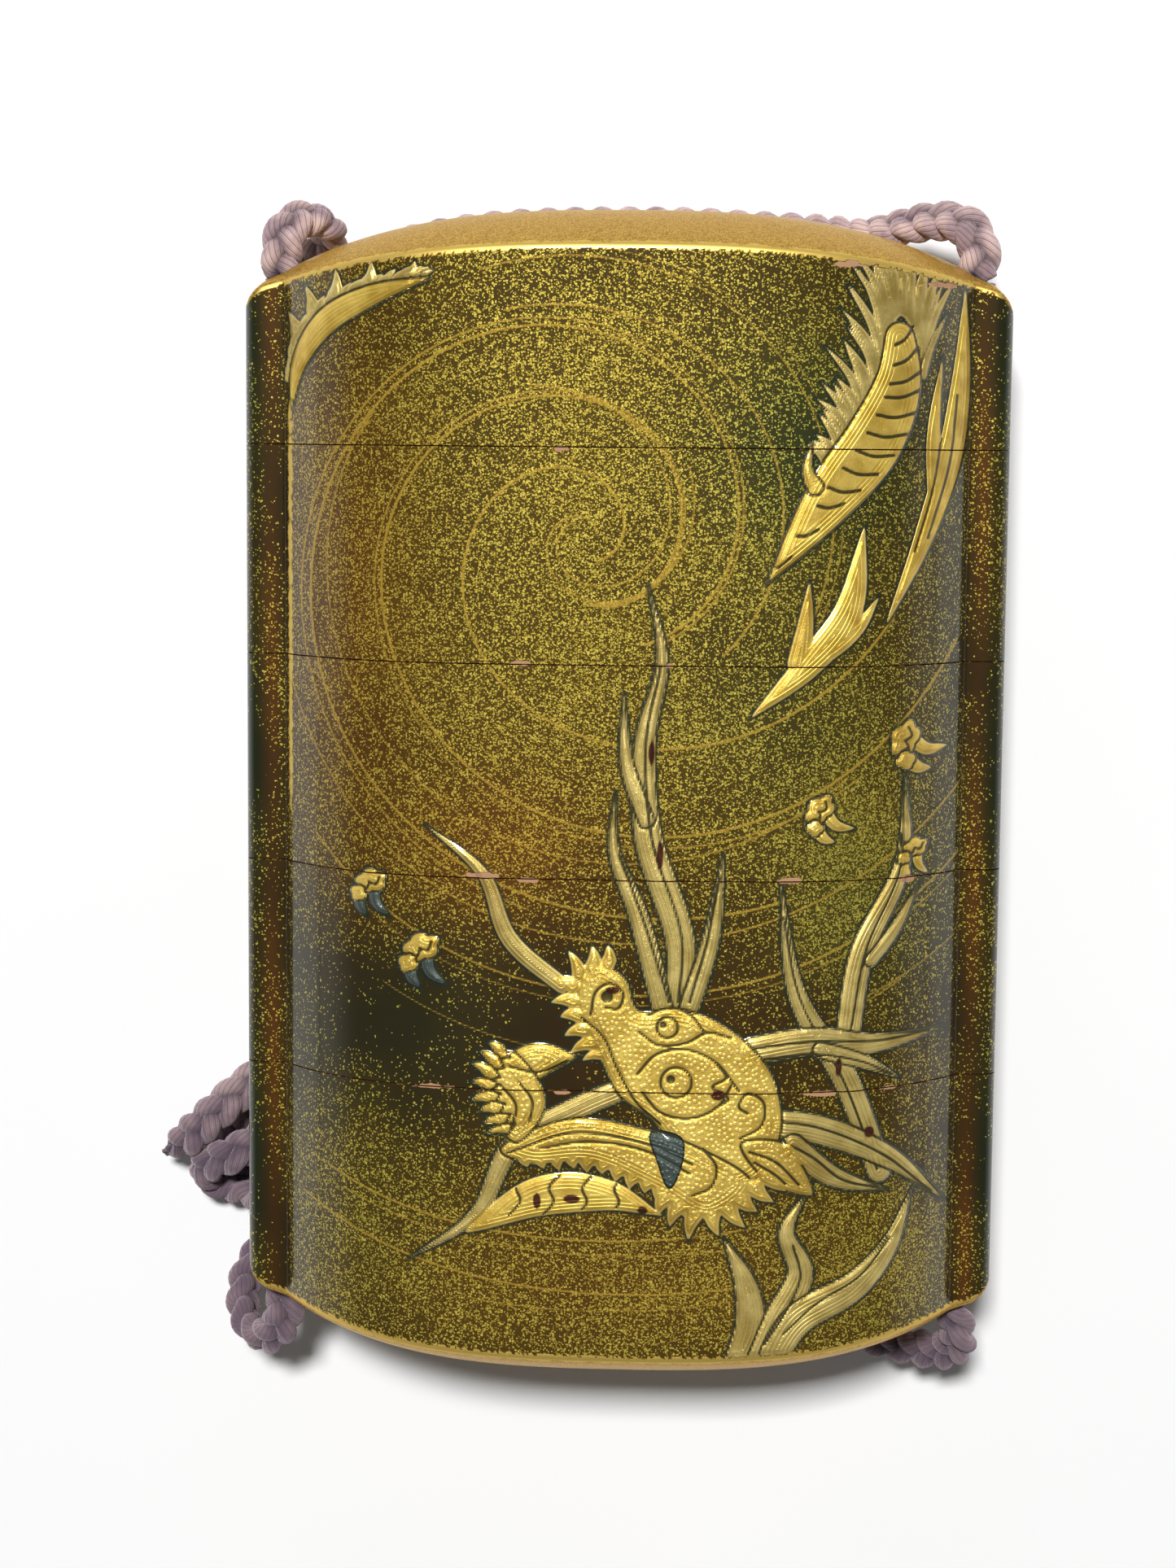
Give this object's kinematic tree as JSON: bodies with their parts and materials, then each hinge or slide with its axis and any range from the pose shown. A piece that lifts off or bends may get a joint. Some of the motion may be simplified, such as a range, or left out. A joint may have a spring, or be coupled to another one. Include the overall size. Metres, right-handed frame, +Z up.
{
  "type": "inro case",
  "caption": "Flat lacquered carrying case of stacked boxes with domed ends, raised gold water-dragon ornament and a plaited cord through its sides, lying on its back.",
  "frame": {"origin": "on the surface the case lies on, under the middle of the stack of boxes", "axes": "+Y up the stack towards the lid, +X to the right of the decorated front, +Z up out of the front"},
  "size_m": [0.0669, 0.0923, 0.0232],
  "materials": {
    "lacquer": "polished lacquer over a thin wooden core, sprinkled with gold dust and raised gold figures",
    "cord": "plaited soft silk yarn, mauve grey"
  },
  "bodies": {
    "root": {"lid": "lacquer", "case_1": "lacquer", "case_2": "lacquer", "case_3": "lacquer", "case_4": "lacquer", "cord_left_channel": "cord", "cord_right_channel": "cord", "cord_left": "cord", "cord_right": "cord", "cord_bottom": "cord", "cord_knot": "cord"}
  },
  "joints": []
}
